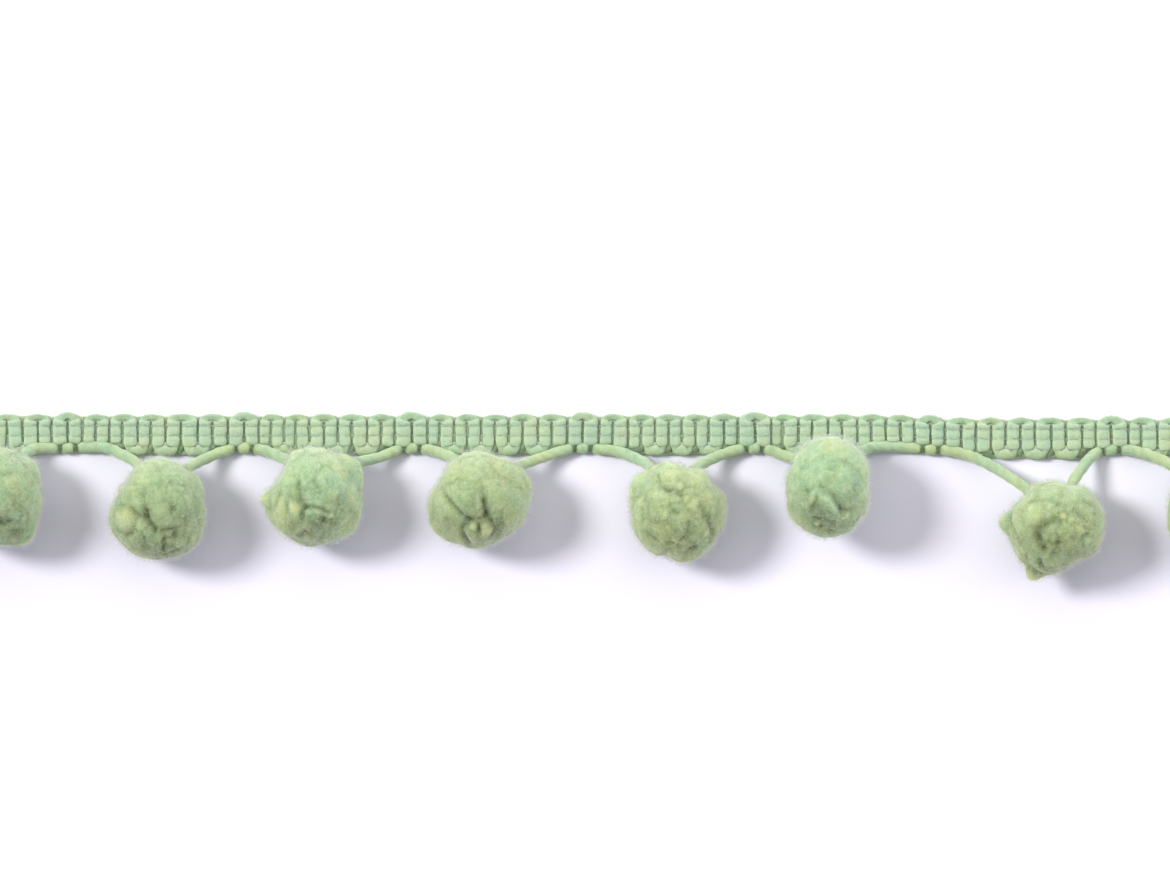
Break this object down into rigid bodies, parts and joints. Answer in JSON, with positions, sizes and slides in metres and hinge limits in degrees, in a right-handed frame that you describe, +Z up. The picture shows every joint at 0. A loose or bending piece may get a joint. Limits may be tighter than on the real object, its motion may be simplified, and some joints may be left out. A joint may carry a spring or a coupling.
{
  "type": "pompom fringe trim",
  "caption": "Length of pompom fringe trim lying flat: a ribbed gimp header with looped edges, a carrier cord caught along its lower edge, and round tufted pompoms gripped on the cord.",
  "frame": {"origin": "middle of the header's flat back face, on the surface that the trim lies on", "axes": "+X along the header; -Y from the header to the pompoms; +Z up, away from the header's back, towards its ribbed face"},
  "size_m": [0.1895, 0.0216, 0.0143],
  "materials": {
    "header_yarn": "matt woven yarn, light mint green",
    "cord_yarn": "matt soft cord, pale green",
    "pompom_yarn": "matt felted cut yarn, mid green",
    "pompom_yarn_yellow": "matt felted cut yarn, yellow-green"
  },
  "bodies": {
    "root": {"header": "header_yarn", "carrier_cord": "cord_yarn", "pompom_0": "pompom_yarn", "pompom_1": "pompom_yarn", "pompom_2": "pompom_yarn", "pompom_3": "pompom_yarn", "pompom_4": "pompom_yarn_yellow", "pompom_5": "pompom_yarn", "pompom_6": "pompom_yarn_yellow", "pompom_7": "pompom_yarn"}
  },
  "joints": []
}
